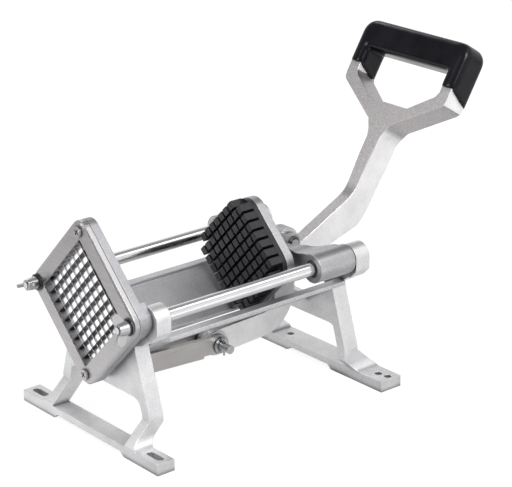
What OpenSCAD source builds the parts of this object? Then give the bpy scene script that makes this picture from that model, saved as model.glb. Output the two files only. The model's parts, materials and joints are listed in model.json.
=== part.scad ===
// French fry cutter: a hand lever pushes a toothed block along two guide rods,
// through a square grid of blades. X is across, -Y is the blade end, Z is up.
// The origin is on the table, midway between the ends of the two feet.

/* [Frame] */
// Length over both feet
frame_len = 280; // [270:1:300]
// Width over each foot
foot_w = 204; // [196:1:230]
// Height of the guide rods and of the middle of the blade grid
axis_z = 126; // [125:0.5:130]
// Thickness of the foot bars
foot_t = 10.5; // [9:0.5:12]
// Depth of the front foot bar
front_foot_d = 18; // [16:1:19]
// Depth of the rear foot bar
rear_foot_d = 24; // [22:1:26]
// How far the front legs stand behind the front of their foot
front_setback = 20; // [19:0.5:22]
// How far the rear legs stand ahead of the back of their foot
rear_setback = 20; // [18:0.5:22]
// Depth of the front legs and rod bosses
front_leg_d = 15; // [14:0.5:16]
// Depth of the rear legs and rod bosses
rear_leg_d = 16; // [14:0.5:18]
// Width of each leg, seen from the front
leg_w = 10.5; // [9:0.5:12]
// Thickness of the webs that join the legs
web_t = 6.5; // [5:0.5:7]
// Half distance over the legs, just above the feet
leg_half = 65; // [62:0.5:68]
// Depth of the front web under the lowest corner of its opening
front_web_d = 5.95; // [5:0.05:8]
// Depth of the rear web under the trough
rear_web_d = 7.35; // [6:0.05:10]

/* [Foot holes] */
// Distance of the middle of each slot from the end of the front foot
slot_inset = 15; // [14:0.5:18]
// Length of a slot
slot_len = 20; // [16:1:22]
// Width of a slot
slot_w = 7; // [5:0.5:8]
// Diameter of the round holes of the rear foot
hole_d = 7; // [5:0.5:7.5]
// Distance of the inner holes from the ends of the rear foot
hole_in_inset = 16.5; // [15.5:0.5:18]
// Distance of the outer holes from the ends of the rear foot
hole_out_inset = 6; // [5:0.5:7]
// Distance of the single hole beside the left rear leg from the middle
hole_mid_x = 40.5; // [36:0.5:44]

/* [Guide rods] */
// Half distance between the two rods
rod_half = 68.5; // [67:0.5:70]
// Diameter of the rods
rod_d = 12; // [11:0.1:12.7]
// Diameter of the threaded front ends of the rods
stud_d = 6; // [5:0.5:8]
// How far the rods stand out behind the rear bosses
rod_proud = 3.5; // [1:0.5:4]
// Radius of the round top of the rod bosses
boss_r = 12.5; // [12:0.25:13]
// Width of the rod bosses
boss_w = 24.5; // [24:0.25:26]
// Diameter and length of the set screws that hold the rods, from below
set_screw_d = 6; // [4:0.5:6]
set_screw_len = 11; // [8:0.5:11]

/* [Blades] */
// Pitch of the blades, which is the width of one fry
pitch = 9.525; // [9.4:0.025:9.6]
// How far the rods lie outside the side corners of the opening with the blades
rod_clear = 7.34; // [7:0.02:8]
// Width of the holder's rim around that opening
holder_rim = 13.75; // [13:0.25:15]
// Thickness of a blade
blade_t = 0.6; // [0.4:0.1:0.8]
// Depth of a blade, front to back
blade_depth = 8; // [6:0.25:9]
// Length of a blade that lies in its slot in the holder, at each end
blade_tail = 5; // [3:0.5:7]
// How far the blades lie behind the front of the holder
blade_recess = 2; // [0.5:0.25:4]
// Thickness of the holder
holder_t = 13; // [12:0.5:15]
// Depth of the pads that carry the holder on the front legs' bosses
pad_d = 5; // [4:0.5:6]
// How far the inner edges of those pads lie inside the rods
pad_inset = 4.5; // [4:0.5:6]
// How much wider the front casting's opening is than the holder's, at each side
casting_play = 8; // [4:0.5:9]
// Radius of the holder's corners
holder_r = 12.7; // [10:0.1:14]
// Thickness of the sheet that the cover is folded from
cover_t = 1.5; // [1:0.1:2]
// Depth of the cover's folded edge
cover_edge = 4.5; // [3.5:0.25:6]
// How far the cover's window is inside the holder's opening
cover_overlap = 1.25; // [0.5:0.25:2]
// Distance of the two cover screws from the corners of the opening
cover_screw_inset = 4.8; // [4.5:0.1:5.5]
// Diameter and length of the cover screws, and the height of their heads
cover_screw_d = 5; // [3:0.5:5]
cover_screw_len = 11.5; // [8:0.5:13]
cover_head_h = 2.6; // [2:0.1:3]
// Thickness of the washers under the wing nuts
washer_t = 1.4; // [1:0.1:1.6]
// Width of the large washers beyond the studs, and of the small ones
washer_rim = 4.6; // [4:0.1:5]
small_washer_rim = 3.4; // [3:0.1:4]
// Height of the wing nuts
nut_h = 9; // [8:0.5:10]
// Reach of each wing from the middle of its nut
wing_span = 14; // [13:0.5:15]

/* [Carriage] */
// Gap between the carriage tubes and the rear bosses at rest
rest_gap = 1.8; // [1:0.1:3]
// Length of the carriage tubes
tube_len = 40.5; // [38:0.5:44]
// Outer radius of the carriage tubes
tube_r = 13.5; // [13:0.25:14]
// Wall of the plain bushes in the tubes
bush_wall = 2; // [1.5:0.25:2.5]
// Length of each bush
bush_len = 12; // [8:0.5:16]
// How deep the front bushes sit in the tubes
bush_recess = 1; // [0:0.25:2]
// Gap around the pusher plate and the block's base as they enter the opening
plate_play = 1.25; // [1:0.25:2]
// Radius of the corners of the pusher plate
plate_r = 16; // [14:0.5:18]
// Thickness of the pusher plate
plate_t = 8.3; // [7:0.1:9]
// Distance between the pusher plate and the front ends of the tubes
plate_gap = 6.7; // [5:0.1:8]
// Thickness of the block's base
block_base = 5; // [4:0.25:6]
// Length of the block's pegs
peg_len = 12; // [10:0.5:13]
// Gap between two pegs
peg_gap = 2.7; // [1.8:0.1:3]
// Distance of the block's screws from the flats of the plate
block_screw_inset = 9; // [8:0.5:10]
// Diameter of the block's screws, and the height of their heads
block_screw_d = 5; // [4:0.5:5]
block_head_h = 2.8; // [2:0.1:3.2]

/* [Lever] */
// Height of the pin that joins the lever to the carriage, over the rods
pin_rise = 4; // [3:0.5:5]
// Distance of that pin ahead of the back ends of the tubes
pin_inset = 16.5; // [15:0.5:18]
// Thickness of the lever, side to side
lever_t = 16; // [14:0.5:16]
// How far the link pin lies ahead of the carriage pin
crank_y = 86; // [84:0.5:88]
// Depth of the lever's straight shank
shank_d = 25.4; // [24:0.2:27]
// Slope of the shank, from level
shank_angle = 57.5; // [56:0.5:59]
// Half width over the fork of the D handle
fork_half = 68.5; // [64:0.5:70]
// Length of the shank and fork from the bend to the top of the hand bar
fork_len = 164.5; // [158:0.5:172]
// Thickness of the dipped grip
grip_t = 2.5; // [1.5:0.25:3]

/* [Links] */
// Width of the links
link_w = 18.5; // [17:0.5:18.5]
// Thickness of the links
link_t = 4.5; // [3.5:0.5:5]
// Side gap between the links and the lever
link_gap = 0.6; // [0.4:0.1:0.8]
// Distance of the links' front pin behind the front legs' front face
link_front_inset = 22; // [21.5:0.5:23]
// Gap between the links' front eyes and the underside of the trough
link_front_gap = 1.61; // [1:0.01:3]
// Gap between the links' rear eyes and the underside of the trough, at rest
link_rear_gap = 7.11; // [4:0.01:9]
// Diameter of the pins in the links and the lever
pin_d = 8; // [7:0.5:8]

/* [Trough] */
// Half width over the trough's lips
lip_half = 66.5; // [65:0.5:67]
// Width of each lip
lip_w = 9.5; // [8:0.5:10]
// Gap between the carriage tubes and the lips below them
lip_gap = 9.2; // [8:0.1:11]
// Thickness of the lips
lip_t = 4.2; // [3.5:0.1:4.5]
// Wall of the trough
trough_t = 3; // [2.5:0.25:3.5]
// Slope of the trough's walls, from level
trough_angle = 31; // [30:0.5:32]
// Width of the slot for the lever
lever_slot_w = 20; // [19:0.5:22]
// Length of the slot, from the rear end of the trough
lever_slot_len = 150; // [145:1:160]

/* [Hidden] */
$fn = 64;
eps = 0.02;
// Radial play of a still fit, and of a running one
still = 0.03;
running = 0.06;

half_len = frame_len / 2;
front_y = -half_len + front_setback;
front_back_y = front_y + front_leg_d;
rear_back_y = half_len - rear_setback;
rear_y = rear_back_y - rear_leg_d;

lip_z = axis_z - tube_r - lip_gap;
pin_z = axis_z + pin_rise;
opening_half = (rod_half - rod_clear) / sqrt(2);
cells = floor(2 * opening_half / pitch);
holder_half = opening_half + holder_rim;
cover_window = opening_half - cover_overlap;
cover_screw_r = opening_half * sqrt(2) + cover_screw_inset;
plate_half = opening_half - plate_play;
peg_w = pitch - peg_gap;
slot_half = foot_w / 2 - slot_inset;
hole_in_half = foot_w / 2 - hole_in_inset;
hole_out_half = foot_w / 2 - hole_out_inset;
blade_half = opening_half + blade_tail;
holder_y = front_y - holder_t - pad_d;
cover_y = holder_y - cover_t;
blade_y = holder_y + blade_recess;
lines = cells - 1;
diag = sqrt(2);

tube_back_y = rear_y - rest_gap;
tube_y = tube_back_y - tube_len;
plate_back_y = tube_y - plate_gap;
plate_y = plate_back_y - plate_t;
peg_y = plate_y - block_base - peg_len;
pin_y = tube_back_y - pin_inset;
link_pin_y = pin_y - crank_y;
link_pin_z = trough_under_z(lever_slot_w / 2) - link_rear_gap - link_w / 2;
link_front_z = trough_under_z(lever_slot_w / 2) - link_front_gap - link_w / 2;
crank_z = pin_z - link_pin_z;
link_front_y = front_y + link_front_inset;

pin_r = pin_d / 2;
lever_half = lever_t / 2;
link_in = lever_half + link_gap;
link_out = link_in + link_t;
ear_t = 6.5;
ear_in = lever_half + 0.5;
ear_out = ear_in + ear_t;
ear_r = 8.5;
neck_x = ear_out + 6;

leg_slope = 0.3;
leg_knee_z = 34;
boss_side_z = axis_z - 10.5;

// ---------- helpers ----------

// points of a cubic curve from a to d
function curve(a, b, c, d, n = 8) = [for (i = [0:n]) let (t = i / n, u = 1 - t)
    u * u * u * a + 3 * u * u * t * b + 3 * u * t * t * c + t * t * t * d];

function arc(c, r, a0, a1, n = 12) =
    [for (i = [0:n]) let (a = a0 + (a1 - a0) * i / n) c + r * [cos(a), sin(a)]];

// extrudes an outline drawn in X and Z from y0 to y1
module along_y(y0, y1) {
    translate([0, y1, 0]) rotate([90, 0, 0]) linear_extrude(y1 - y0) children();
}

// extrudes an outline drawn in Y and Z from x0 to x1
module along_x(x0, x1) {
    translate([x0, 0, 0]) rotate([90, 0, 90]) linear_extrude(x1 - x0) children();
}

// a round bar along Y, and one along X
module rod_y(x, z, y0, y1, r) {
    translate([x, y1, z]) rotate([90, 0, 0]) cylinder(r = r, h = y1 - y0);
}
module rod_x(y, z, x0, x1, r) {
    translate([x0, y, z]) rotate([0, 90, 0]) cylinder(r = r, h = x1 - x0);
}

module both_sides() {
    children();
    mirror([1, 0, 0]) children();
}

// a square standing on its corner about the grid's middle, with round corners
function diamond(h, r) =
    [for (q = [0:3]) each arc([0, axis_z] + (h - r) * diag * [cos(90 * q), sin(90 * q)],
        r, 90 * q - 45, 90 * q + 45, 8)];

// ---------- the two leg castings ----------

function leg_x(z) = leg_half - leg_slope * max(0, z - leg_knee_z);

foot_fillet = 9;
leg_top_z = axis_z - 30;
front_web_z = axis_z - (opening_half + casting_play) * diag - front_web_d;
rear_web_z = trough_under_z(0) - rear_web_d;
under_x = boss_out() - 19;
under_z = boss_side_z - 15;
function boss_out() = rod_half + boss_w / 2;

// one leg and its rod boss, seen from the front
module leg_outline() {
    polygon(concat(
        [[leg_half - leg_w, foot_t - 1]],
        [[leg_half + foot_fillet, foot_t - 1]],
        arc([leg_half + foot_fillet, foot_t + foot_fillet], foot_fillet, 270, 180),
        [[leg_half, leg_knee_z], [leg_x(leg_top_z - 6), leg_top_z - 6]],
        [[leg_x(leg_top_z) + 1.5, leg_top_z], [under_x - 3, under_z - 1]],
        [[boss_out(), boss_side_z]],
        [[rod_half - boss_w / 2, boss_side_z], [leg_x(leg_top_z) - leg_w, leg_top_z]],
        [[leg_half - leg_w, leg_knee_z]]
    ));
}

module boss_outline() {
    polygon(concat(
        [[rod_half - boss_w / 2, boss_side_z - 8], [boss_out() - 8, boss_side_z - 8]],
        [[boss_out(), boss_side_z]],
        arc([rod_half, axis_z], boss_r, 8, 172, 24)
    ));
}

// the side view that the legs are cut to: straight, then slanting to the foot
module kinked(y0, y1, foot0, foot1, dir) {
    low = foot_t;
    near = dir < 0 ? y0 : y1;
    far = dir < 0 ? y1 : y0;
    toe = dir < 0 ? foot0 : foot1;
    heel = dir < 0 ? foot1 : foot0;
    rise = abs(toe - near);
    along_x(-foot_w, foot_w) polygon([
        [near, 2 * axis_z], [near, low + rise], [toe, low + 1.5], [toe, 0],
        [heel, 0], [heel, low], [far, low + abs(far - heel)], [far, 2 * axis_z]
    ]);
}

// a foot bar whose middle is relieved underneath
module foot_bar(y0, y1, relief_x) {
    relief_z = 4;
    along_y(y0, y1) polygon([
        [-foot_w / 2, 0], [-relief_x, 0], [-relief_x + 5, relief_z],
        [relief_x - 5, relief_z], [relief_x, 0], [foot_w / 2, 0],
        [foot_w / 2, foot_t], [-foot_w / 2, foot_t]
    ]);
}

// the web between the legs, below the line that top_z gives at the middle
module web_outline(low_z, top) {
    x0 = leg_half - leg_w - 12;
    polygon(concat(
        [[-x0, low_z]], [[x0, low_z]],
        arc([x0, low_z - 12], 12, 90, 20, 6),
        [[leg_half - leg_w + 1, leg_knee_z - 4], [leg_half - 2, leg_knee_z]],
        [[leg_x(leg_top_z) - 2, leg_top_z], [rod_half, boss_side_z - 1]],
        top,
        [[-rod_half, boss_side_z - 1], [-leg_x(leg_top_z) + 2, leg_top_z]],
        [[-leg_half + 2, leg_knee_z], [-leg_half + leg_w - 1, leg_knee_z - 4]],
        arc([-x0, low_z - 12], 12, 160, 90, 6)
    ));
}

// the front casting's lug hangs over the links' front pin and is open below it
lug_back_y = link_front_y + pin_r + 7;

module link_lug() {
    w = link_in - 0.4;
    play = pin_r + 0.6;
    difference() {
        along_x(-w, w) polygon([
            [front_y + web_t - 1, link_front_z + 8], [front_y + web_t - 1, link_front_z + 2],
            [link_front_y, link_front_z - 10], [lug_back_y, link_front_z - 10],
            [lug_back_y, link_front_z + 3], [lug_back_y - 5, link_front_z + 8]
        ]);
        rod_x(link_front_y, link_front_z, -w - 1, w + 1, play);
        along_x(-w - 1, w + 1) polygon([
            [link_front_y + play, link_front_z], [link_front_y + play + 3, link_front_z - 11],
            [front_y, link_front_z - 11], [front_y + web_t, link_front_z - 5],
            [link_front_y - play, link_front_z]
        ]);
    }
}

module set_screw_hole(y) {
    translate([rod_half, y, under_z - 2])
        cylinder(d = set_screw_d + 2 * still, h = axis_z - under_z + 2);
}

casting_half_x = rod_half - boss_w / 2 - 5;

module front_leg_casting() {
    color("silver") difference() {
        union() {
            intersection() {
                both_sides() along_y(front_y - 40, front_back_y) leg_outline();
                kinked(front_y, front_back_y, -half_len, -half_len + front_foot_d, -1);
            }
            both_sides() along_y(front_y, front_back_y) boss_outline();
            along_y(front_y, front_y + web_t) difference() {
                web_outline(front_web_z, [[0, axis_z]]);
                intersection() {
                    polygon(diamond(opening_half + casting_play, 2));
                    translate([-casting_half_x, 0]) square([2 * casting_half_x, 2 * axis_z]);
                }
            }
            foot_bar(-half_len, -half_len + front_foot_d, 53);
            link_lug();
        }
        both_sides() {
            rod_y(rod_half, axis_z, front_y - 1, front_back_y + 1, rod_d / 2 + still);
            set_screw_hole(front_y + front_leg_d / 2);
            front_slot();
        }
    }
}

module front_slot() {
    y = -half_len + front_foot_d / 2;
    x0 = slot_half - (slot_len - slot_w) / 2;
    x1 = slot_half + (slot_len - slot_w) / 2;
    translate([x0, y, -1]) cylinder(d = slot_w, h = foot_t + 2);
    translate([x1, y, -1]) cylinder(d = slot_w, h = foot_t + 2);
    translate([x0, y - slot_w / 2, -1]) cube([x1 - x0, slot_w, foot_t + 2]);
}

module rear_leg_casting() {
    rise = (rod_half - 12) * tan(trough_angle);
    low_top = lip_z - lip_t - (lip_half - lip_w) * tan(trough_angle) + 8;
    color("silver") difference() {
        union() {
            intersection() {
                both_sides() along_y(rear_y, rear_back_y + 40) leg_outline();
                kinked(rear_y, rear_back_y, half_len - rear_foot_d, half_len, 1);
            }
            both_sides() along_y(rear_y, rear_back_y) boss_outline();
            along_y(rear_y, rear_y + web_t)
                web_outline(rear_web_z, [[rod_half - 12, low_top + rise], [12, low_top],
                    [-12, low_top], [-rod_half + 12, low_top + rise]]);
            foot_bar(half_len - rear_foot_d, half_len, 32);
        }
        both_sides() {
            rod_y(rod_half, axis_z, rear_y - 1, rear_back_y + 1, rod_d / 2 + still);
            set_screw_hole(rear_y + rear_leg_d / 2);
            foot_hole(hole_in_half, half_len - rear_foot_d / 2 - 0.5);
            foot_hole(hole_out_half, half_len - rear_foot_d / 2 + 1.5);
        }
        foot_hole(-hole_mid_x, half_len - rear_foot_d / 2);
    }
}

module foot_hole(x, y) {
    translate([x, y, -1]) cylinder(d = hole_d, h = foot_t + 2);
}

// ---------- rods and their screws ----------

stud_end_y = cover_y - 2 * washer_t - nut_h - 1;

module guide_rod() {
    color("gainsboro") {
        rod_y(rod_half, axis_z, front_y, rear_back_y + rod_proud, rod_d / 2);
        rod_y(rod_half, axis_z, stud_end_y, front_y + 1, stud_d / 2);
    }
}

module rod_set_screws() {
    low_z = axis_z - rod_d / 2 - still - set_screw_len;
    color("dimgray") both_sides()
        for (y = [front_y + front_leg_d / 2, rear_y + rear_leg_d / 2])
            translate([rod_half, y, low_z]) difference() {
                cylinder(d = set_screw_d, h = set_screw_len);
                translate([0, 0, -1])
                    cylinder(d = set_screw_d / 2, h = set_screw_len / 3 + 1, $fn = 6);
            }
}

// ---------- trough ----------

// top and underside of the trough's wall at x, from the middle out to the lip
function wall_z(x) = lip_z - lip_t + 1 - (lip_half - lip_w - x) * tan(trough_angle);
function trough_under_z(x) = wall_z(x) - trough_t / cos(trough_angle);

module potato_trough() {
    inner = lip_half - lip_w;
    nose_half = 34;
    point = 10;
    color("darkgray") difference() {
        along_y(front_y + web_t, rear_y) polygon([
            [-lip_half, lip_z - lip_t], [-inner - 1, lip_z - lip_t], [0, trough_under_z(0)],
            [inner + 1, lip_z - lip_t], [lip_half, lip_z - lip_t], [lip_half, lip_z],
            [inner, lip_z], [inner, wall_z(inner)], [0, wall_z(0)],
            [-inner, wall_z(inner)], [-inner, lip_z], [-lip_half, lip_z]
        ]);
        both_sides() linear_extrude(2 * axis_z) polygon([
            [nose_half, front_y], [nose_half, front_back_y + 0.3],
            [inner - 1, front_back_y + 0.3], [lip_half + 1, front_back_y + 0.3 + point],
            [lip_half + 20, front_y]
        ]);
        translate([-lever_slot_w / 2, rear_y - lever_slot_len, 0])
            cube([lever_slot_w, lever_slot_len + 1, axis_z]);
        translate([0, rear_y - lever_slot_len, 0]) cylinder(d = lever_slot_w, h = axis_z);
        translate([-lever_slot_w / 2, front_y, 0])
            cube([lever_slot_w, lug_back_y + 1.5 - front_y, axis_z]);
    }
}

// ---------- blade assembly ----------

rebate = cover_t + 0.1;

// one blade's place, as an offset from the middle of the grid
function blade_at(i) = (i - (lines + 1) / 2) * pitch;

// turns a shape drawn in the grid's own square frame onto the corner-up grid
module grid_frame() {
    translate([0, 0, axis_z]) rotate([0, 45, 0]) children();
}

module blade_slots(play) {
    grid_frame() for (i = [1:lines], turn = [0, 90])
        rotate([0, turn, 0])
            translate([-blade_half - play, blade_y - play, blade_at(i) - blade_t / 2 - play])
                cube([2 * (blade_half + play), blade_depth + 2 * play, blade_t + 2 * play]);
}

module blade_holder() {
    color("lightgray") difference() {
        union() {
            along_y(holder_y, holder_y + holder_t) polygon(diamond(holder_half, holder_r));
            intersection() {
                along_y(holder_y + holder_t - 1, front_y) polygon(diamond(holder_half, holder_r));
                both_sides() translate([rod_half - pad_inset, -frame_len, 0])
                    cube([50, frame_len, 2 * axis_z]);
            }
        }
        difference() {
            along_y(holder_y - 1, holder_y + cover_edge + 0.5)
                polygon(diamond(holder_half + 5, holder_r + 5));
            along_y(holder_y - 2, holder_y + cover_edge + 1)
                polygon(diamond(holder_half - rebate, holder_r - rebate));
        }
        along_y(holder_y - 1, front_y + 1) polygon(diamond(opening_half, 1));
        blade_slots(0.1);
        both_sides() rod_y(rod_half, axis_z, holder_y - 1, front_y + 1, stud_d / 2 + 0.3);
        for (s = [-1, 1])
            rod_y(0, axis_z + s * cover_screw_r, holder_y - 1, cover_y + cover_screw_len + 1,
                cover_screw_d / 2 + still);
    }
}

// blades of one direction; each is notched to half its depth where others cross it
module blade_set(turn, notch_front) {
    mid = blade_y + blade_depth / 2;
    play = 0.1;
    grid_frame() rotate([0, turn, 0]) for (i = [1:lines])
        difference() {
            translate([-blade_half, blade_y, blade_at(i) - blade_t / 2])
                cube([2 * blade_half, blade_depth, blade_t]);
            for (j = [1:lines])
                translate([blade_at(j) - blade_t / 2 - play,
                        notch_front ? blade_y - 1 : mid - play / 2, blade_at(i) - blade_t])
                    cube([blade_t + 2 * play, blade_depth / 2 + 1 + play / 2, 2 * blade_t]);
        }
}

module blades_rising() { color("whitesmoke") blade_set(0, true); }
module blades_falling() { color("whitesmoke") blade_set(90, false); }

module cover_frame() {
    soft = 1.6;
    color("lightgray") difference() {
        hull() {
            along_y(cover_y, cover_y + 0.2)
                polygon(diamond(holder_half - soft, holder_r - soft));
            along_y(cover_y + soft, cover_y + cover_t + cover_edge)
                polygon(diamond(holder_half, holder_r));
        }
        along_y(cover_y + cover_t, cover_y + cover_t + cover_edge + 1)
            polygon(diamond(holder_half - cover_t, holder_r - cover_t));
        along_y(cover_y - 1, cover_y + cover_t + 1) polygon(diamond(cover_window, 2));
        both_sides() rod_y(rod_half, axis_z, cover_y - 1, cover_y + cover_t + 1, stud_d / 2 + 0.3);
        for (s = [-1, 1])
            rod_y(0, axis_z + s * cover_screw_r, cover_y - 1, cover_y + cover_t + 1,
                cover_screw_d / 2 + still);
    }
}

module cover_screws() {
    slot_w = cover_screw_d / 4;
    color("silver") for (s = [-1, 1]) {
        z = axis_z + s * cover_screw_r;
        rod_y(0, z, cover_y, cover_y + cover_screw_len, cover_screw_d / 2);
        difference() {
            rod_y(0, z, cover_y - cover_head_h, cover_y, cover_screw_d * 0.95);
            translate([0, cover_y - cover_head_h, z]) rotate([0, 30, 0])
                for (a = [0, 90]) rotate([0, a, 0])
                    translate([-cover_screw_d * 0.6, -1, -slot_w / 2])
                        cube([cover_screw_d * 1.2, cover_head_h / 2 + 1, slot_w]);
        }
    }
}

module wing_nut_washers() {
    color("dimgray") both_sides() {
        washer_y(rod_half, cover_y - washer_t, stud_d / 2 + washer_rim);
        washer_y(rod_half, cover_y - 2 * washer_t, stud_d / 2 + small_washer_rim);
    }
}

module washer_y(x, y, r) {
    difference() {
        rod_y(x, axis_z, y, y + washer_t, r);
        rod_y(x, axis_z, y - 1, y + washer_t + 1, stud_d / 2 + 0.3);
    }
}

// a wing nut on the stud at x, with its wings turned by tilt from level
module wing_nut(x, tilt) {
    y1 = cover_y - 2 * washer_t - 0.1;
    color("silver") translate([x, y1, axis_z]) rotate([90, tilt, 0])
        difference() {
            union() {
                cylinder(r1 = stud_d / 2 + 3, r2 = stud_d / 2 + 2, h = nut_h);
                for (s = [0, 180]) rotate([0, 0, s]) wing();
            }
            translate([0, 0, -1]) cylinder(d = stud_d + 2 * running, h = nut_h + 2);
        }
}

// one wing, drawn in the plane that holds the nut's own axis
module wing() {
    translate([0, 1.4, 0]) rotate([90, 0, 0]) linear_extrude(2.8) polygon(concat(
        [[stud_d / 2 + 0.5, 1], [stud_d / 2 + 3, 1]],
        arc([wing_span - 4, nut_h - 0.5], 4, -70, 120, 10),
        [[stud_d / 2 + 0.5, nut_h]]
    ));
}

// ---------- carriage ----------

module pusher_carriage() {
    neck_z = block_screw_r / diag - block_screw_d - 0.5;
    color("lightgray") difference() {
        union() {
            along_y(plate_y, plate_back_y) polygon(diamond(plate_half, plate_r));
            both_sides() {
                rod_y(rod_half, axis_z, tube_y, tube_back_y, tube_r);
                intersection() {
                    along_y(tube_y, tube_back_y) arm_front_outline();
                    linear_extrude(2 * axis_z) arm_plan_outline();
                }
                along_x(ear_in + 1, neck_x) polygon([
                    [plate_back_y - 1, axis_z - neck_z], [plate_back_y - 1, axis_z + neck_z],
                    [tube_y + 1, axis_z + 8], [tube_y + 1, axis_z - 10]
                ]);
                ear();
            }
        }
        both_sides() rod_y(rod_half, axis_z, tube_y - 1, tube_back_y + 1,
            rod_d / 2 + bush_wall + still);
        rod_x(pin_y, pin_z, -ear_out - 1, ear_out + 1, pin_r + still);
        for (a = [0:90:270]) block_screw_at(a)
            rod_y(0, axis_z, plate_y - 1, plate_back_y + 1, block_screw_d / 2 + still);
    }
}

// the arm from an ear to its tube, seen from the front
module arm_front_outline() {
    x1 = rod_half - 5;
    polygon(concat(
        [[ear_in + 1, axis_z - 10], [x1 - 14, axis_z - 8], [x1, axis_z - 11.5]],
        curve([x1, axis_z + 12], [x1 - 9, axis_z + 12], [x1 - 13, axis_z + 8.5],
            [x1 - 20, axis_z + 9.5], 6),
        curve([x1 - 22, axis_z + 10], [x1 - 28, axis_z + 11], [x1 - 34, axis_z + 8],
            [neck_x, axis_z + 8], 6),
        [[ear_in + 1, axis_z + 8]]
    ));
}

// the same arm from above: it stays clear of the head of the lever's pin
module arm_plan_outline() {
    back_y = pin_y - ear_r - 2;
    polygon(concat(
        [[ear_in + 1, tube_y - 1], [rod_half, tube_y - 1], [rod_half, tube_back_y - 3]],
        curve([rod_half - tube_r + 2, tube_back_y - 3], [rod_half - tube_r - 3, tube_back_y - 5],
            [rod_half - tube_r - 9, back_y + 3], [ear_out + 14, back_y], 6),
        [[ear_in + 1, back_y]]
    ));
}

// one ear of the yoke that holds the lever's pin
module ear() {
    along_x(ear_in, ear_out) polygon(concat(
        [[plate_back_y - 1, axis_z - 16], [pin_y - 4, axis_z - 8]],
        arc([pin_y, pin_z], ear_r, -60, 110, 16),
        [[plate_back_y - 1, axis_z + 26]]
    ));
}

block_screw_r = plate_half - block_screw_inset;
block_screw_tip_y = plate_y - block_base + 1;

// places one of the four screws that hold the block to the plate
module block_screw_at(a) {
    translate([block_screw_r * cos(a + 45), 0, block_screw_r * sin(a + 45)]) children();
}

module carriage_bushes() {
    color("darkgoldenrod") both_sides()
        for (y = [tube_y + bush_recess, tube_back_y - bush_len])
            difference() {
                rod_y(rod_half, axis_z, y, y + bush_len, rod_d / 2 + bush_wall);
                rod_y(rod_half, axis_z, y - 1, y + bush_len + 1, rod_d / 2 + running);
            }
}

module pusher_block() {
    color("dimgray") difference() {
        union() {
            along_y(plate_y - block_base, plate_y) polygon(diamond(plate_half, plate_r));
            grid_frame() for (i = [1:cells], j = [1:cells])
                if (!((i == 1 || i == cells) && (j == 1 || j == cells)))
                    translate([(i - (cells + 1) / 2) * pitch - peg_w / 2, peg_y,
                            (j - (cells + 1) / 2) * pitch - peg_w / 2])
                        cube([peg_w, peg_len + 1, peg_w]);
        }
        for (a = [0:90:270]) block_screw_at(a)
            rod_y(0, axis_z, block_screw_tip_y - 0.2, plate_y + 1, block_screw_d / 2 + still);
    }
}

module pusher_block_screws() {
    head_y = plate_back_y + block_head_h;
    color("dimgray") for (a = [0:90:270]) block_screw_at(a) {
        rod_y(0, axis_z, block_screw_tip_y, plate_back_y, block_screw_d / 2);
        difference() {
            rod_y(0, axis_z, plate_back_y, head_y, block_screw_d * 0.9);
            translate([0, head_y + 0.5, axis_z]) rotate([90, 0, 0])
                cylinder(d = block_screw_d * 0.68, h = block_head_h * 0.7, $fn = 6);
        }
    }
}

module lever_pin() {
    color("silver") {
        rod_x(pin_y, pin_z, -ear_out, ear_out + 3, pin_r);
        rod_x(pin_y, pin_z, -ear_out - 2.2, -ear_out, pin_r + 2);
    }
}

// the open side of a retaining clip on a pin
module clip_gap(x, y, z) {
    translate([x - 1, y - pin_r * 0.6, z - 2 * pin_r])
        cube([pin_r, pin_r * 1.2, 2 * pin_r]);
}

module lever_pin_clip() {
    color("dimgray") difference() {
        rod_x(pin_y, pin_z, ear_out + 0.2, ear_out + 1.2, pin_r + 2.2);
        rod_x(pin_y, pin_z, ear_out, ear_out + 2, pin_r + still);
        clip_gap(ear_out, pin_y, pin_z);
    }
}

// ---------- lever ----------

boss_lever_r = 12.5;
link_end_r = 12;
pad_t = 1.5;
arm_angle = 26.5;
arm_d = 31;
bend_y = 81.6;
bend_z = 26.6;

// the lever's side view, measured from the carriage pin
module lever_side_outline() {
    shank = [cos(shank_angle), sin(shank_angle)];
    across = [sin(shank_angle), -cos(shank_angle)];
    bend = [bend_y, bend_z];
    top = bend + 64 * shank;
    arm = [cos(arm_angle), sin(arm_angle)];
    arm_back = bend + arm_d * [sin(arm_angle), -cos(arm_angle)];
    shank_back = bend + shank_d * across;
    elbow = [-31.5, -crank_z + 29.5];
    elbow_r = 38.5;
    polygon(concat(
        arc([-crank_y, -crank_z], link_end_r, 95, 268, 16),
        arc(elbow, elbow_r, -90, -5, 14),
        arc([elbow[0] + elbow_r + 16, elbow[1] + 9], 14, 180, 125, 6),
        curve(arm_back - 12 * arm, arm_back - 4 * arm, shank_back - 4 * shank,
            shank_back + 4 * shank),
        [top + shank_d * across, top],
        curve(bend + 11 * shank, bend + 2 * shank, bend - 2 * arm, bend - 11 * arm),
        curve(bend - 68 * arm, bend - 76 * arm, [boss_lever_r + 3, -1], [boss_lever_r, 4]),
        arc([0, 0], boss_lever_r, 0, 180, 18),
        [[-16, -44]],
        arc([-30, -50], 14, 0, -88, 8)
    ));
}

// half of the fork and hand bar, across the shank and along it from the bend
neck_s = 57;
fork_s = 73;
shoulder_s = 103;
arm_w = 12.5;
bar_s = 24.5;

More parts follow.
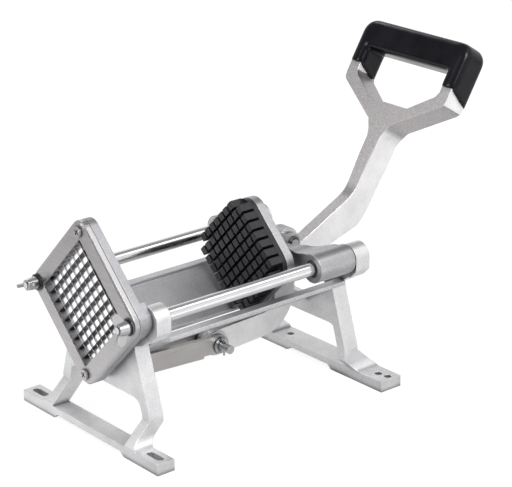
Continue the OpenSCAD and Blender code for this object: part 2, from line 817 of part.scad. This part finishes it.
module fork_outline() {
    inner = fork_half - arm_w;
    for (m = [0, 1]) mirror([m, 0]) polygon(concat(
        [[0, 12], [lever_half - pad_t, 12], [lever_half, 40], [lever_half, neck_s]],
        [[lever_half + 2.5, neck_s + 7], [lever_half + 8, fork_s]],
        [[fork_half - 4, shoulder_s - 1], [fork_half - 1, shoulder_s + 2]],
        [[fork_half, shoulder_s + 7], [fork_half, fork_len - 10]],
        arc([fork_half - 10, fork_len - 10], 10, 0, 90, 8),
        [[0, fork_len], [0, fork_len - bar_s], [inner, fork_len - bar_s]],
        [[inner, shoulder_s + 12], [inner - 3, shoulder_s + 7]],
        [[26, shoulder_s - 11], [0, shoulder_s - 11]]
    ));
}

// turns the fork's own plane into place on the shank
module fork_frame() {
    translate([0, pin_y + bend_y, pin_z + bend_z]) rotate([shank_angle, 0, 0]) children();
}

module lever() {
    pad_r = 11.5;
    color("silver") difference() {
        union() {
            translate([0, pin_y, pin_z]) along_x(-lever_half + pad_t, lever_half - pad_t)
                lever_side_outline();
            fork_frame() translate([0, 0, -shank_d]) linear_extrude(shank_d) fork_outline();
            rod_x(pin_y, pin_z, -lever_half, lever_half, pad_r);
            rod_x(link_pin_y, link_pin_z, -lever_half, lever_half, pad_r);
        }
        rod_x(pin_y, pin_z, -lever_half - 1, lever_half + 1, pin_r + running);
        rod_x(link_pin_y, link_pin_z, -lever_half - 1, lever_half + 1, pin_r + still);
    }
}

// the dipped grip: a soft-edged shell over the hand bar and the tops of the arms
grip_low_s = shoulder_s + 18;

// a thin slice of the opening inside the hand bar, wider by e all round
module window_slice(inner, e) {
    low = shoulder_s - 20;
    translate([-inner - e, low, -eps])
        cube([2 * (inner + e), fork_len - bar_s - grip_t + e - low, 2 * eps]);
}

module hand_grip() {
    g = grip_t;
    inner = fork_half - arm_w - g;
    round_r = 6;
    corner_r = 14;
    color("#202024") fork_frame() difference() {
        hull() for (x = [-1, 1], y = [shoulder_s, fork_len + g - corner_r], a = [0, 45, 90]) {
            d = round_r * (1 - sin(a));
            translate([x * (fork_half + g - corner_r), y, -shank_d - g + d])
                cylinder(r = corner_r - round_r * (1 - cos(a)), h = shank_d + 2 * (g - d),
                    $fn = 32);
        }
        for (t = [[0, round_r, round_r * 0.29, round_r * 0.29],
                [round_r * 0.29, round_r * 0.29, round_r, 0],
                [round_r, 0, shank_d / 2 + g + 1, 0]])
            for (back = [0, 1])
                translate([0, 0, -shank_d / 2]) mirror([0, 0, back])
                    translate([0, 0, shank_d / 2 + g]) hull() {
                        translate([0, 0, -t[0] + (t[0] == 0 ? 1 : 0)]) window_slice(inner, t[1]);
                        translate([0, 0, -t[2]]) window_slice(inner, t[3]);
                    }
        along_x(-fork_half - 10, fork_half + 10) polygon([
            [grip_low_s + 4, 10], [grip_low_s - 0.4 * (shank_d + 10), -shank_d - 10],
            [0, -shank_d - 10], [0, 10]
        ]);
        translate([0, 0, -shank_d - still]) linear_extrude(shank_d + 2 * still)
            fork_outline();
    }
}

// ---------- links ----------

module link_pin() {
    color("dimgray") difference() {
        union() {
            rod_x(link_pin_y, link_pin_z, -link_out - 0.2, lever_half + link_t + 15.5, pin_r);
            rod_x(link_pin_y, link_pin_z, -link_out - 3, -link_out - 0.2, pin_r + 2.5);
        }
        translate([cotter_x, link_pin_y, link_pin_z - 10]) cylinder(r = 1 + still, h = 20);
    }
}

module link_pin_washers() {
    color("darkslategray") difference() {
        rod_x(link_pin_y, link_pin_z, link_out + 0.2, link_out + 0.2 + washer_t, pin_r + 3.5);
        rod_x(link_pin_y, link_pin_z, link_out, link_out + 3, pin_r + still);
    }
}

cotter_x = link_out + 5;

module link_pin_cotter() {
    eye_r = 2.2;
    color("dimgray") translate([cotter_x, link_pin_y, link_pin_z]) {
        translate([0, 0, -pin_r - 4.5]) cylinder(r = 1, h = 2 * pin_r + 6);
        translate([0, 0, pin_r + 1 + eye_r]) rotate([90, 0, 0])
            rotate_extrude() translate([eye_r, 0]) circle(r = 0.95, $fn = 24);
    }
}

// a link's side view, with a small step in its lower edge before the rear eye
module link_outline() {
    len = norm([link_pin_y - link_front_y, link_pin_z - link_front_z]);
    r = link_w / 2;
    step = 2.2;
    translate([link_front_y, link_front_z])
        rotate(atan2(link_pin_z - link_front_z, link_pin_y - link_front_y))
            difference() {
                polygon(concat(
                    arc([0, 0], r, 90, 270, 16),
                    [[len - 19, -r], [len - 18, -r + step], [len - 8, -r + step]],
                    arc([len, 0], r, -60, 90, 12)
                ));
                circle(r = pin_r + still);
                translate([len, 0]) circle(r = pin_r + running);
            }
}

module link_left() {
    color("gainsboro") along_x(-link_out, -link_in) link_outline();
}
module link_right() {
    color("gainsboro") along_x(link_in, link_out) link_outline();
}

module front_link_pin() {
    color("silver") {
        rod_x(link_front_y, link_front_z, -link_out, link_out + 3, pin_r);
        rod_x(link_front_y, link_front_z, -link_out - 2.4, -link_out, pin_r + 2.2);
    }
}

module front_link_pin_clip() {
    color("dimgray") difference() {
        rod_x(link_front_y, link_front_z, link_out, link_out + 1, pin_r + 2.2);
        rod_x(link_front_y, link_front_z, link_out - 1, link_out + 2, pin_r + still);
        clip_gap(link_out, link_front_y, link_front_z);
    }
}

// ---------- parts ----------

front_leg_casting();
rear_leg_casting();
mirror([1, 0, 0]) guide_rod();  // guide_rod_left
guide_rod();  // guide_rod_right
rod_set_screws();
potato_trough();
blade_holder();
blades_rising();
blades_falling();
cover_frame();
cover_screws();
wing_nut_washers();
wing_nut(-rod_half, -18);  // wing_nut_left
wing_nut(rod_half, -108);  // wing_nut_right
pusher_carriage();
carriage_bushes();
pusher_block();
pusher_block_screws();
lever_pin();
lever_pin_clip();
lever();
hand_grip();
link_pin();
link_pin_washers();
link_pin_cotter();
link_left();
link_right();
front_link_pin();
front_link_pin_clip();
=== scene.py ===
"""A hand-lever potato cutter on a pale studio floor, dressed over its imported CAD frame."""
import json
import math

import bmesh
import bpy
from mathutils import Matrix, Vector

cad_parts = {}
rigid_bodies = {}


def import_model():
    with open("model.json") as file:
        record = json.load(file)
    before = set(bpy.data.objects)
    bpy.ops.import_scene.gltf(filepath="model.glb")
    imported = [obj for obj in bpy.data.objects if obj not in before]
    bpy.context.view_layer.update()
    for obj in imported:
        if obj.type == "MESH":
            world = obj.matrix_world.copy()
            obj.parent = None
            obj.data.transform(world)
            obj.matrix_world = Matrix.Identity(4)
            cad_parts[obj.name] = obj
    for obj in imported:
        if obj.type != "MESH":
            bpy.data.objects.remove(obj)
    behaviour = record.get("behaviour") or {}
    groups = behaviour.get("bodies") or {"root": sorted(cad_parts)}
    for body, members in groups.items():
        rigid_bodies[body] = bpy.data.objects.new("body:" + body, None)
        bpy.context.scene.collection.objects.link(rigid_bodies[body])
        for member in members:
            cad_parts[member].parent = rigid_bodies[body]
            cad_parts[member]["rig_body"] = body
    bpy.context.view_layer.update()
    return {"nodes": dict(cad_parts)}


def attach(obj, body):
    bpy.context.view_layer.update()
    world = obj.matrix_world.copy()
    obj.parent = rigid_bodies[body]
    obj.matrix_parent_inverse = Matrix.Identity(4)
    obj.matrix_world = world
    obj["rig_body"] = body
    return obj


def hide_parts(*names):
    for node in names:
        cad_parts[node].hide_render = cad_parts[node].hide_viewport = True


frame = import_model()
NODES = frame["nodes"]
SCENE = bpy.context.scene
MM = 0.001


def grey(level):
    return (level, level, level)


def scaled(colour, factor):
    return tuple(min(1.0, channel * factor) for channel in colour)


WHITE = grey(1.0)
# Near black, for the dark specks of the grain and for painted shade in seams and corners
SPECK_AND_SHADE_BLACK = grey(0.02)


# ---------- node helpers ----------

class Graph:
    """A node tree, with one call for each kind of node that the finishes and the world share."""

    def __init__(self, tree):
        self.tree = tree

    def add(self, kind, **settings):
        """A new node, with each setting put on its input or its property of that name."""
        node = self.tree.nodes.new(kind)
        for key, value in settings.items():
            if key in node.inputs:
                node.inputs[key].default_value = value
            else:
                setattr(node, key, value)
        return node

    def link(self, source, target):
        self.tree.links.new(source, target)

    def put(self, value, socket):
        """Sets an input to a number or an (r, g, b), or links a socket into it."""
        if isinstance(value, bpy.types.NodeSocket):
            self.link(value, socket)
        elif isinstance(value, tuple):
            socket.default_value = (*value, 1.0)
        else:
            socket.default_value = value

    def math(self, operation, *values):
        node = self.add("ShaderNodeMath", operation=operation)
        for value, socket in zip(values, node.inputs):
            self.put(value, socket)
        return node.outputs["Value"]

    def dot(self, a, b):
        node = self.add("ShaderNodeVectorMath", operation="DOT_PRODUCT")
        self.link(a, node.inputs[0])
        self.link(b, node.inputs[1])
        return node.outputs["Value"]

    def axes(self, vector):
        """The X, Y and Z outputs of a split vector."""
        split = self.add("ShaderNodeSeparateXYZ")
        self.link(vector, split.inputs["Vector"])
        return split.outputs

    def ramp(self, factor, low, high, out_low=0.0, out_high=1.0, blend="LINEAR"):
        """Takes low..high of a factor to out_low..out_high, and holds it there outside."""
        node = self.add("ShaderNodeMapRange", interpolation_type=blend)
        for key, value in zip(("From Min", "From Max", "To Min", "To Max"),
                              (low, high, out_low, out_high)):
            node.inputs[key].default_value = value
        self.link(factor, node.inputs["Value"])
        return node.outputs["Result"]

    def mix(self, factor, a, b):
        """Blends two colours, each an (r, g, b) or a socket."""
        node = self.add("ShaderNodeMix", data_type="RGBA")
        self.link(factor, node.inputs["Factor"])
        self.put(a, node.inputs[6])
        self.put(b, node.inputs[7])
        return node.outputs[2]

    def blend(self, factor, a, b):
        """Blends two numbers, each a number or a socket."""
        node = self.add("ShaderNodeMix", data_type="FLOAT")
        self.link(factor, node.inputs["Factor"])
        self.put(a, node.inputs["A"])
        self.put(b, node.inputs["B"])
        return node.outputs["Result"]

    def seen_directly(self):
        """1 for what the camera itself sees and 0 for light and reflections."""
        return self.add("ShaderNodeLightPath").outputs["Is Camera Ray"]


class Finish(Graph):
    """A material's node tree, laid out in object coordinates."""

    def __init__(self, name):
        self.material = bpy.data.materials.new(name)
        self.material.use_nodes = True
        super().__init__(self.material.node_tree)
        self.shader = self.tree.nodes["Principled BSDF"]
        self.coords = self.add("ShaderNodeTexCoord").outputs["Object"]

    def true_normal(self):
        return self.add("ShaderNodeNewGeometry").outputs["Normal"]

    def stretched(self, scale):
        """Object coordinates scaled along each axis."""
        mapping = self.add("ShaderNodeMapping", Scale=scale)
        self.link(self.coords, mapping.inputs["Vector"])
        return mapping.outputs["Vector"]

    def noise(self, scale, detail=3.0, rough=0.5, coords=None):
        node = self.add("ShaderNodeTexNoise", Scale=scale, Detail=detail, Roughness=rough)
        self.link(coords or self.coords, node.inputs["Vector"])
        return node.outputs["Fac"]

    def bump(self, height, strength, distance, normal=None):
        node = self.add("ShaderNodeBump", Strength=strength, Distance=distance)
        self.link(height, node.inputs["Height"])
        if normal:
            self.link(normal, node.inputs["Normal"])
        return node.outputs["Normal"]

    def soft_edges(self, radius):
        return self.add("ShaderNodeBevel", Radius=radius, samples=6).outputs["Normal"]

    def edge_highlight(self, width):
        """A mask for painted edge highlights: 1 on outer edges and 0 on flat faces, from how far a
        rounded normal leaves the true one.
        """
        return self.ramp(self.dot(self.soft_edges(width), self.true_normal()), 0.98, 0.72)

    def occlusion_shade(self, reach):
        """A mask for painted shade: 1 in seams and corners and 0 in the open, from how much nearby
        metal hides the sky.
        """
        node = self.add("ShaderNodeAmbientOcclusion", samples=8, Distance=reach)
        return self.ramp(node.outputs["AO"], 0.45, 0.95, 1.0, 0.0)

    def done(self, **values):
        """Puts the values on the shader's own inputs and gives the finished material."""
        for key, value in values.items():
            self.put(value, self.shader.inputs[key.replace("_", " ")])
        return self.material


# ---------- finishes ----------

def cast_metal(name, colour, rough, grain, edge=0.8 * MM, finish_and_shade_colour=None):
    """Blasted casting: a fine grain over slow mottling, with a painted highlight on its edges and
    painted shade in its corners.

    The optional colour for the faces that don't look along X is darker: partly their as-cast finish
    and partly painted shade. Those faces keep all of the grain, and the other faces a fifth of it.
    """
    g = Finish(name)
    mottle = g.noise(scale=45.0, detail=4.0, rough=0.6)
    fine = g.noise(scale=650.0, detail=6.0, rough=0.8)
    body = g.mix(g.ramp(mottle, 0.35, 0.65), scaled(colour, 0.88), colour)
    specks = g.ramp(fine, 0.38, 0.66, 0.0, 0.30 * grain)
    if finish_and_shade_colour:
        along_x = g.math("ABSOLUTE", g.axes(g.true_normal())["X"])
        dull = g.ramp(along_x, 0.90, 0.75)
        # Partly painted shade: the faces that don't look along X take the darker colour
        body = g.mix(dull, body, finish_and_shade_colour)
        specks = g.math("MULTIPLY", specks, g.ramp(dull, 0.0, 1.0, 0.2, 1.0))
    highlit_edges = g.edge_highlight(edge)
    tint = g.mix(specks, body, SPECK_AND_SHADE_BLACK)
    # Painted highlight: the colour is lighter on the outer edges
    tint = g.mix(highlit_edges, tint, scaled(colour, 1.15))
    # Painted shade: the colour goes towards black in seams and corners
    tint = g.mix(g.ramp(g.occlusion_shade(5.0 * MM), 0.0, 1.0, 0.0, 0.7), tint, SPECK_AND_SHADE_BLACK)
    roughness = g.ramp(fine, 0.3, 0.7, rough - 0.06, rough + 0.08)
    roughness = g.math("MULTIPLY_ADD", highlit_edges, -0.16, roughness)
    normal = g.bump(fine, 0.22 * grain, 0.15 * MM, g.soft_edges(edge))
    normal = g.bump(mottle, 0.10, 0.6 * MM, normal)
    return g.done(Base_Color=tint, Metallic=1.0, Roughness=roughness, Normal=normal)


def brushed_metal(name, colour, rough, along, edge=0.4 * MM):
    """Sheet or bar with fine parallel brush lines, a painted highlight on its edges and painted shade
    in its seams; along is the direction's axis index.
    """
    g = Finish(name)
    scale = [2600.0, 2600.0, 2600.0]
    scale[along] = 26.0
    lines = g.noise(scale=1.0, detail=3.0, rough=0.65, coords=g.stretched(scale))
    cloud = g.noise(scale=30.0)
    tint = g.mix(g.ramp(lines, 0.3, 0.7), scaled(colour, 0.78), colour)
    tint = g.mix(g.ramp(cloud, 0.35, 0.7, 0.0, 0.35), tint, scaled(colour, 0.72))
    # Painted highlight: the colour is lighter on the outer edges
    tint = g.mix(g.edge_highlight(edge), tint, scaled(colour, 1.3))
    # Painted shade: the colour is darker in seams and corners
    tint = g.mix(g.occlusion_shade(3.0 * MM), tint, scaled(colour, 0.22))
    roughness = g.ramp(lines, 0.25, 0.75, rough - 0.07, rough + 0.09)
    normal = g.bump(lines, 0.10, 0.08 * MM, g.soft_edges(edge))
    return g.done(Base_Color=tint, Metallic=1.0, Roughness=roughness, Normal=normal)


def polished_metal(name, colour, rough, edge=0.3 * MM, seam=2.0 * MM):
    """Ground and plated steel with faint turning marks, handling smudges and painted shade in its
    seams.
    """
    g = Finish(name)
    smudge = g.noise(scale=70.0, detail=4.0, rough=0.6)
    rings = g.noise(scale=1.0, detail=2.0, coords=g.stretched([60.0, 3200.0, 60.0]))
    tint = g.mix(g.ramp(smudge, 0.4, 0.75, 0.0, 0.3), colour, scaled(colour, 0.8))
    # Painted shade: the colour is darker in seams
    tint = g.mix(g.occlusion_shade(seam), tint, scaled(colour, 0.2))
    roughness = g.ramp(smudge, 0.35, 0.75, rough, rough + 0.08)
    normal = g.bump(rings, 0.02, 0.02 * MM, g.soft_edges(edge) if edge else None)
    return g.done(Base_Color=tint, Metallic=1.0, Roughness=roughness, Normal=normal)


def moulded_plastic(name, colour, rough):
    """Matte moulded nylon with a fine texture and a painted highlight on its edges."""
    g = Finish(name)
    edge = 0.5 * MM
    fine = g.noise(scale=1800.0, detail=2.0, rough=0.55)
    cloud = g.noise(scale=55.0)
    tint = g.mix(g.ramp(cloud, 0.35, 0.7), colour, scaled(colour, 1.5))
    # Painted highlight: the colour is much lighter on the outer edges
    tint = g.mix(g.edge_highlight(edge), tint, scaled(colour, 5.0))
    roughness = g.ramp(fine, 0.3, 0.7, rough - 0.05, rough + 0.08)
    normal = g.bump(fine, 0.12, 0.10 * MM, g.soft_edges(edge))
    return g.done(Base_Color=tint, Roughness=roughness, Normal=normal)


def dipped_vinyl(name, dark, light):
    """Thick glossy dip coat: a nearly black skin with slow waves and a few dull patches."""
    g = Finish(name)
    wave = g.noise(scale=38.0, detail=2.0, rough=0.45)
    skin = g.noise(scale=900.0, detail=2.0)
    tint = g.mix(g.ramp(wave, 0.35, 0.7), dark, light)
    roughness = g.ramp(wave, 0.3, 0.75, 0.15, 0.26)
    normal = g.bump(wave, 0.25, 0.5 * MM)
    normal = g.bump(skin, 0.05, 0.06 * MM, normal)
    return g.done(Base_Color=tint, Roughness=roughness, Normal=normal, IOR=1.30)


CAST = cast_metal("cast_aluminium", (0.88, 0.88, 0.89), 0.43, 0.6)
CAST_BED = cast_metal("cast_aluminium_bed", (0.72, 0.72, 0.74), 0.46, 0.9)
CAST_SLIDE = cast_metal("cast_aluminium_slide", (0.58, 0.58, 0.60), 0.38, 1.0)
CAST_HOLDER = cast_metal("cast_aluminium_holder", (0.50, 0.50, 0.52), 0.46, 1.0)
# The lever's faces that don't look along X are darker: partly as-cast finish, partly painted shade
CAST_LEVER = cast_metal("cast_aluminium_lever", (0.98, 0.97, 0.975), 0.42, 1.6,
                        edge=0.9 * MM, finish_and_shade_colour=(0.60, 0.575, 0.58))
SINTERED = cast_metal("sintered_bush", (0.36, 0.35, 0.34), 0.36, 0.6, edge=0.3 * MM)
STEEL_COVER = brushed_metal("brushed_cover", (0.62, 0.60, 0.605), 0.30, along=0, edge=0.5 * MM)
STEEL_LINK = brushed_metal("brushed_link", (0.62, 0.60, 0.59), 0.32, along=1)
# Painted light: both blade sets are one ground steel, the rising set in a lit colour and the falling
# set in a dark shaded colour
BLADE_LIT = polished_metal("lit_blade_steel", (0.70, 0.70, 0.71), 0.16,
                           edge=0.1 * MM, seam=0.5 * MM)
BLADE_SHADED = polished_metal("shaded_blade_steel", (0.08, 0.075, 0.08), 0.34,
                            edge=0.1 * MM, seam=0.5 * MM)
CHROME = polished_metal("chromed_rod", (0.84, 0.84, 0.85), 0.15, edge=0.0)
PLATED = polished_metal("plated_steel", (0.56, 0.56, 0.57), 0.28)
DARK = polished_metal("dark_steel", (0.16, 0.16, 0.165), 0.26)
BLACK = moulded_plastic("black_nylon", (0.009, 0.009, 0.011), 0.38)
VINYL = dipped_vinyl("dipped_vinyl", (0.003, 0.003, 0.005), (0.007, 0.006, 0.009))

FINISH = {
    "front_leg_casting": CAST,
    "rear_leg_casting": CAST,
    "guide_rod_left": CHROME,
    "guide_rod_right": CHROME,
    "rod_set_screws": DARK,
    "potato_trough": CAST_BED,
    "blade_holder": CAST_HOLDER,
    # Lit and shaded copies of the same blade steel
    "blades_rising": BLADE_LIT,
    "blades_falling": BLADE_SHADED,
    "cover_frame": STEEL_COVER,
    "cover_screws": PLATED,
    "wing_nut_washers": DARK,
    "wing_nut_left": PLATED,
    "wing_nut_right": PLATED,
    "pusher_carriage": CAST_SLIDE,
    "carriage_bushes": SINTERED,
    "pusher_block": BLACK,
    "pusher_block_screws": PLATED,
    "lever_pin": PLATED,
    "lever_pin_clip": DARK,
    "lever": CAST_LEVER,
    "hand_grip": VINYL,
    "link_pin": PLATED,
    "link_pin_washers": PLATED,
    "link_pin_cotter": PLATED,
    "link_left": STEEL_LINK,
    "link_right": STEEL_LINK,
    "front_link_pin": PLATED,
    "front_link_pin_clip": DARK,
}


def dress(obj, material):
    obj.data.materials.clear()
    obj.data.materials.append(material)


for node_name, finish in FINISH.items():
    dress(NODES[node_name], finish)


# ---------- pieces ----------

WELD_DISTANCE = 0.001 * MM
FLAT_DEGREES = 0.6
SHARP_DEGREES = 28.0


def node_body(node):
    return NODES[node]["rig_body"]


def edit_mesh(mesh, change):
    """Runs change on a BMesh of the mesh and writes the result back."""
    work = bmesh.new()
    work.from_mesh(mesh)
    change(work)
    work.to_mesh(mesh)
    work.free()


def weld(work):
    bmesh.ops.remove_doubles(work, verts=work.verts, dist=WELD_DISTANCE)


def join_flat_faces(work):
    bmesh.ops.dissolve_limit(work, angle_limit=math.radians(FLAT_DEGREES), verts=work.verts,
                             edges=work.edges)


def smooth_by_angle(mesh, degrees):
    """Shades the mesh smooth across every edge that bends less than the given angle."""
    limit = math.radians(degrees)

    def shade(work):
        for face in work.faces:
            face.smooth = True
        for edge in work.edges:
            if len(edge.link_faces) == 2:
                edge.smooth = edge.calc_face_angle(0.0) < limit

    edit_mesh(mesh, shade)


def copy_of(node, name):
    """A welded copy of a CAD node's mesh as a new object."""
    mesh = NODES[node].data.copy()
    edit_mesh(mesh, weld)
    mesh.name = name
    obj = bpy.data.objects.new(name, mesh)
    SCENE.collection.objects.link(obj)
    return obj


def modify(obj, kind, **settings):
    modifier = obj.modifiers.new(kind.lower(), kind)
    for key, value in settings.items():
        setattr(modifier, key, value)


def freeze(obj):
    """Applies the object's modifiers to its mesh."""
    view = bpy.context.evaluated_depsgraph_get()
    mesh = bpy.data.meshes.new_from_object(obj.evaluated_get(view))
    obj.modifiers.clear()
    old = obj.data
    obj.data = mesh
    bpy.data.meshes.remove(old)


def stand_in(obj, node):
    """Shows the object in place of a CAD node, in the node's finish and on its body."""
    dress(obj, FINISH[node])
    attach(obj, node_body(node))
    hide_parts(node)


def soften(node, width):
    """Stands for a CAD node with the same form and true rounded edges."""
    obj = copy_of(node, node + "_soft")
    edit_mesh(obj.data, join_flat_faces)
    smooth_by_angle(obj.data, SHARP_DEGREES)
    modify(obj, "BEVEL", width=width, segments=2, limit_method="ANGLE",
           angle_limit=math.radians(SHARP_DEGREES), use_clamp_overlap=True,
           miter_outer="MITER_ARC")
    modify(obj, "WEIGHTED_NORMAL", keep_sharp=False, weight=100)
    freeze(obj)
    stand_in(obj, node)


def dipped_grip():
    """The hand grip as one dipped skin: remeshed, so its edges and dip line flow together."""
    obj = copy_of("hand_grip", "dipped_grip")
    modify(obj, "REMESH", mode="VOXEL", voxel_size=1.1 * MM)
    modify(obj, "SMOOTH", factor=0.5, iterations=22)
    freeze(obj)
    smooth_by_angle(obj.data, 180.0)
    stand_in(obj, "hand_grip")


# Width of the rounding on the edges of each casting
EDGE_WIDTHS = {
    "lever": 0.7 * MM,
    "front_leg_casting": 0.9 * MM,
    "rear_leg_casting": 0.9 * MM,
    "pusher_carriage": 0.8 * MM,
    "blade_holder": 0.6 * MM,
    "potato_trough": 0.5 * MM,
}

dipped_grip()
for node_name, edge_width in EDGE_WIDTHS.items():
    soften(node_name, edge_width)


# ---------- camera ----------

AZIMUTH, ELEVATION, ROLL = (math.radians(degrees) for degrees in (50.89, 20.43, -0.95))
EYE = Vector((1.35401, -1.04701, 0.78318))
FOCAL_PX = 2040.4
FRAME_WIDTH_PX = 512
SENSOR_WIDTH_MM = 36.0
CLIP_NEAR = 0.05
CLIP_FAR = 30.0


def photo_camera():
    """A camera at EYE, looking back along its azimuth and elevation and rolled about that line."""
    back = Vector((math.sin(AZIMUTH) * math.cos(ELEVATION),
                   -math.cos(AZIMUTH) * math.cos(ELEVATION), math.sin(ELEVATION)))
    level = Vector((math.cos(AZIMUTH), math.sin(AZIMUTH), 0.0))
    up = back.cross(level)
    rolled_right = math.cos(ROLL) * level + math.sin(ROLL) * up
    rolled_up = math.cos(ROLL) * up - math.sin(ROLL) * level
    data = bpy.data.cameras.new("photo_camera")
    data.sensor_fit = "HORIZONTAL"
    data.sensor_width = SENSOR_WIDTH_MM
    data.lens = FOCAL_PX / FRAME_WIDTH_PX * SENSOR_WIDTH_MM
    data.clip_start = CLIP_NEAR
    data.clip_end = CLIP_FAR
    camera = bpy.data.objects.new("photo_camera", data)
    SCENE.collection.objects.link(camera)
    turn = Matrix((rolled_right, rolled_up, back)).transposed()
    camera.matrix_world = Matrix.Translation(EYE) @ turn.to_4x4()
    SCENE.camera = camera


photo_camera()


# ---------- floor, light and background ----------

FLOOR_HALF = 6.0
FLOOR_GLOW = 0.90
BRIGHT_SIDE = Vector((0.05, 1.0, 0.0)).normalized()
WALL_DARK = 0.16
WALL_BRIGHT = 0.92
CEILING = 0.32

# Name of each lamp: its place, the point it faces, its width and height in metres, and its watts
LAMPS = {
    "side_box": ((1.7, -0.2, 1.8), (0.2, 0.15, 0.0), (1.2, 1.2), 56),
    "front_box": ((-0.9, -2.0, 1.2), (0.0, 0.05, 0.1), (1.4, 1.0), 24),
    "top_box": ((0.70, 1.05, 1.60), (0.0, -0.05, 0.15), (0.7, 0.7), 2.5),
    "back_strip": ((-1.53, 0.50, 1.66), (0.0, 0.1, 0.25), (0.7, 0.12), 2.5),
}


def studio_floor():
    """White with a faint shadow to the camera.

    What it lights sees a plain grey table, dull in front and bright behind and to the right.
    """
    mesh = bpy.data.meshes.new("studio_floor")
    corners = [(-1, -1), (1, -1), (1, 1), (-1, 1)]
    mesh.from_pydata([(x * FLOOR_HALF, y * FLOOR_HALF, 0) for x, y in corners],
                     [], [(0, 1, 2, 3)])
    floor = bpy.data.objects.new("studio_floor", mesh)
    SCENE.collection.objects.link(floor)
    g = Finish("studio_floor")
    place = g.axes(g.coords)
    seen = g.seen_directly()
    grain = g.ramp(g.noise(scale=8.0, detail=2.0), 0.3, 0.7)
    front = g.mix(grain, grey(0.34), grey(0.38))
    left = g.mix(g.ramp(place["Y"], -0.55, -0.15), front, grey(0.90))
    right = g.mix(g.ramp(place["X"], 0.15, 0.75), grey(0.52), grey(0.97))
    bounce = g.mix(g.ramp(place["X"], -0.05, 0.08), left, right)
    floor.data.materials.append(g.done(
        Base_Color=g.mix(seen, bounce, grey(0.14)), Roughness=0.9,
        Emission_Color=WHITE, Emission_Strength=g.ramp(seen, 0.0, 1.0, 0.0, FLOOR_GLOW)))


def studio_world():
    """White to the camera; round the object a bright wall, a dark wall and a grey ceiling."""
    world = bpy.data.worlds.new("studio")
    world.use_nodes = True
    SCENE.world = world
    g = Graph(world.node_tree)
    direction = g.add("ShaderNodeTexCoord").outputs["Generated"]
    bright_side = g.add("ShaderNodeCombineXYZ", X=BRIGHT_SIDE.x, Y=BRIGHT_SIDE.y,
                        Z=BRIGHT_SIDE.z).outputs["Vector"]
    wall = g.ramp(g.dot(direction, bright_side), -0.85, 0.35, WALL_DARK, WALL_BRIGHT,
                  blend="SMOOTHSTEP")
    height = g.ramp(g.axes(direction)["Z"], 0.42, 0.68, blend="SMOOTHSTEP")
    around = g.blend(height, wall, CEILING)
    background = g.tree.nodes["Background"]
    background.inputs["Color"].default_value = (*WHITE, 1.0)
    g.link(g.blend(g.seen_directly(), around, 1.0), background.inputs["Strength"])


def soft_light(name, place, aim, size, watts):
    data = bpy.data.lights.new(name, "AREA")
    data.shape = "RECTANGLE"
    data.size, data.size_y = size
    data.energy = watts
    lamp = bpy.data.objects.new(name, data)
    SCENE.collection.objects.link(lamp)
    lamp.location = place
    lamp.rotation_euler = (Vector(aim) - Vector(place)).to_track_quat("-Z", "Y").to_euler()


studio_floor()
studio_world()
for lamp_name, lamp in LAMPS.items():
    soft_light(lamp_name, *lamp)

SCENE.view_settings.view_transform = "Standard"
